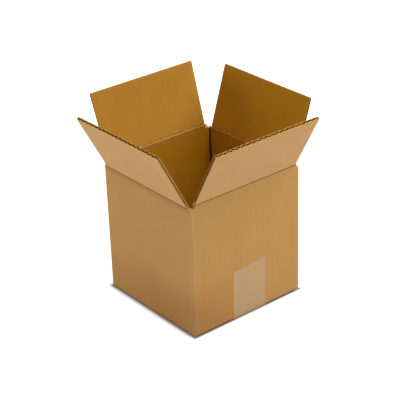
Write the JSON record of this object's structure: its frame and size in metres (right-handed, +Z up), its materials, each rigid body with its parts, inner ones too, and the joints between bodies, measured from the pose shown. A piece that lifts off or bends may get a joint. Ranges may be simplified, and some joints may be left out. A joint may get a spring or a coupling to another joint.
{
  "type": "open cardboard carton",
  "caption": "Square corrugated cardboard carton standing open, with hinged top flaps leaning out and a base closed by one strip of tape.",
  "frame": {"origin": "middle of the underside of the standing carton, on the surface that it stands on", "axes": "+Z up; -Y is the front panel, +X the right panel; the base seam and its tape run along Y"},
  "size_m": [0.2203, 0.2242, 0.2401],
  "materials": {
    "cardboard": "matte",
    "tape": "satin"
  },
  "bodies": {
    "carton": {"carton_body": "cardboard", "bottom_tape": "tape"},
    "front_flap": {"top_flap_front": "cardboard"},
    "right_flap": {"top_flap_right": "cardboard"},
    "back_flap": {"top_flap_back": "cardboard"},
    "left_flap": {"top_flap_left": "cardboard"}
  },
  "joints": [
    {"name": "front_flap_crease", "type": "hinge", "parent": "carton", "child": "front_flap", "pos_m": [0, -0.079, 0.1655], "axis": [1, 0, 0], "range_deg": [-119, 146]},
    {"name": "right_flap_crease", "type": "hinge", "parent": "carton", "child": "right_flap", "pos_m": [0.08, 0, 0.1615], "axis": [0, 1, 0], "range_deg": [-107.7, 142.3]},
    {"name": "back_flap_crease", "type": "hinge", "parent": "carton", "child": "back_flap", "pos_m": [0, 0.079, 0.1655], "axis": [-1, 0, 0], "range_deg": [-111, 154]},
    {"name": "left_flap_crease", "type": "hinge", "parent": "carton", "child": "left_flap", "pos_m": [-0.08, 0, 0.1615], "axis": [0, -1, 0], "range_deg": [-117.6, 147.4]}
  ]
}
